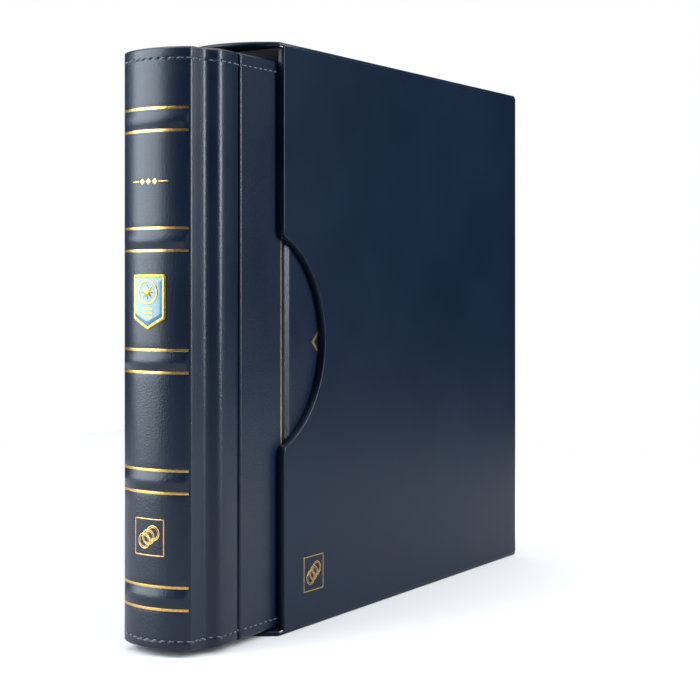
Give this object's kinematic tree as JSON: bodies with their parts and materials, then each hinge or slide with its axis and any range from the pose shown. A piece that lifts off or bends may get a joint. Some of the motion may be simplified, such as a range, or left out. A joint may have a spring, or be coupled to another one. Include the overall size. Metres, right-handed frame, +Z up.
{
  "type": "coin album with slipcase",
  "caption": "Padded leatherette ring album with a rounded spine and raised bands, drawn part of the way out of a matching slipcase with thumb notches.",
  "frame": {"origin": "bottom centre of the bounding box of album and slipcase together", "axes": "+Z up; +Y from the spine into the slipcase; +X out of the front cover"},
  "size_m": [0.068, 0.3684, 0.33],
  "materials": {
    "leatherette": "fine grained padded leatherette, satin",
    "greyboard": "grey binder's board",
    "foam": "soft padding",
    "lining_paper": "dark blue lining paper",
    "gold_foil": "hot stamped gold foil",
    "gilt_metal": "gilt relief",
    "enamel": "light blue enamel",
    "thread": "twisted thread",
    "nickel": "nickel plated steel",
    "clear_film": "clear soft film",
    "page_card": "black card"
  },
  "bodies": {
    "slipcase": {"slipcase_front_board": "greyboard", "slipcase_rear_board": "greyboard", "slipcase_bottom_board": "greyboard", "slipcase_top_board": "greyboard", "slipcase_back_board": "greyboard", "slipcase_front_leather": "leatherette", "slipcase_rear_leather": "leatherette", "slipcase_edge_leather": "leatherette", "slipcase_lining": "lining_paper", "slipcase_mark": "gold_foil"},
    "album": {"spine_board": "greyboard", "spine_former": "foam", "raised_bands": "greyboard", "front_joint_board": "greyboard", "rear_joint_board": "greyboard", "front_joint_pad": "foam", "rear_joint_pad": "foam", "front_cover_board": "greyboard", "rear_cover_board": "greyboard", "front_cover_pad": "foam", "rear_cover_pad": "foam", "album_leather": "leatherette", "front_endpaper": "lining_paper", "rear_endpaper": "lining_paper", "spine_gold_lines": "gold_foil", "spine_ornament": "gold_foil", "spine_mark": "gold_foil", "shield_plate": "gilt_metal", "shield_enamel": "enamel", "cover_gold_frame": "gold_foil", "cover_ornament": "gold_foil", "edge_stitching": "thread", "ring_housing": "nickel", "housing_rivets": "nickel", "lever_pins": "nickel", "interleaf_1": "page_card", "interleaf_2": "page_card", "interleaf_3": "page_card", "interleaf_4": "page_card", "interleaf_5": "page_card", "interleaf_6": "page_card", "interleaf_7": "page_card", "interleaf_8": "page_card", "coin_page_1": "clear_film", "coin_page_2": "clear_film", "coin_page_3": "clear_film", "coin_page_4": "clear_film", "coin_page_5": "clear_film", "coin_page_6": "clear_film", "coin_page_7": "clear_film", "coin_page_8": "clear_film"},
    "left_jaw": {"left_blade": "nickel", "left_ring_halves": "nickel"},
    "right_jaw": {"right_blade": "nickel", "right_ring_halves": "nickel"},
    "top_lever": {"top_lever": "nickel"},
    "bottom_lever": {"bottom_lever": "nickel"}
  },
  "joints": [
    {"name": "album_slide", "type": "slide", "parent": "slipcase", "child": "album", "axis": [0, -1, 0], "range_m": [-0.06, 0.24]},
    {"name": "left_rings_open", "type": "hinge", "parent": "album", "child": "left_jaw", "pos_m": [-0.0096, -0.16905, 0.1618], "axis": [0, 0, 1], "range_deg": [0, 18]},
    {"name": "right_rings_open", "type": "hinge", "parent": "album", "child": "right_jaw", "pos_m": [0.0096, -0.16905, 0.1618], "axis": [0, 0, 1], "range_deg": [-18, 0]},
    {"name": "top_lever_tip", "type": "hinge", "parent": "album", "child": "top_lever", "pos_m": [0, -0.16905, 0.3068], "axis": [1, 0, 0], "range_deg": [0, 27]},
    {"name": "bottom_lever_tip", "type": "hinge", "parent": "album", "child": "bottom_lever", "pos_m": [0, -0.16905, 0.0168], "axis": [-1, 0, 0], "range_deg": [0, 27]}
  ],
  "couplings": [
    {"joint": "right_rings_open", "follows": "left_rings_open", "ratio": -1},
    {"joint": "top_lever_tip", "follows": "left_rings_open", "ratio": 1.5},
    {"joint": "bottom_lever_tip", "follows": "left_rings_open", "ratio": 1.5}
  ]
}
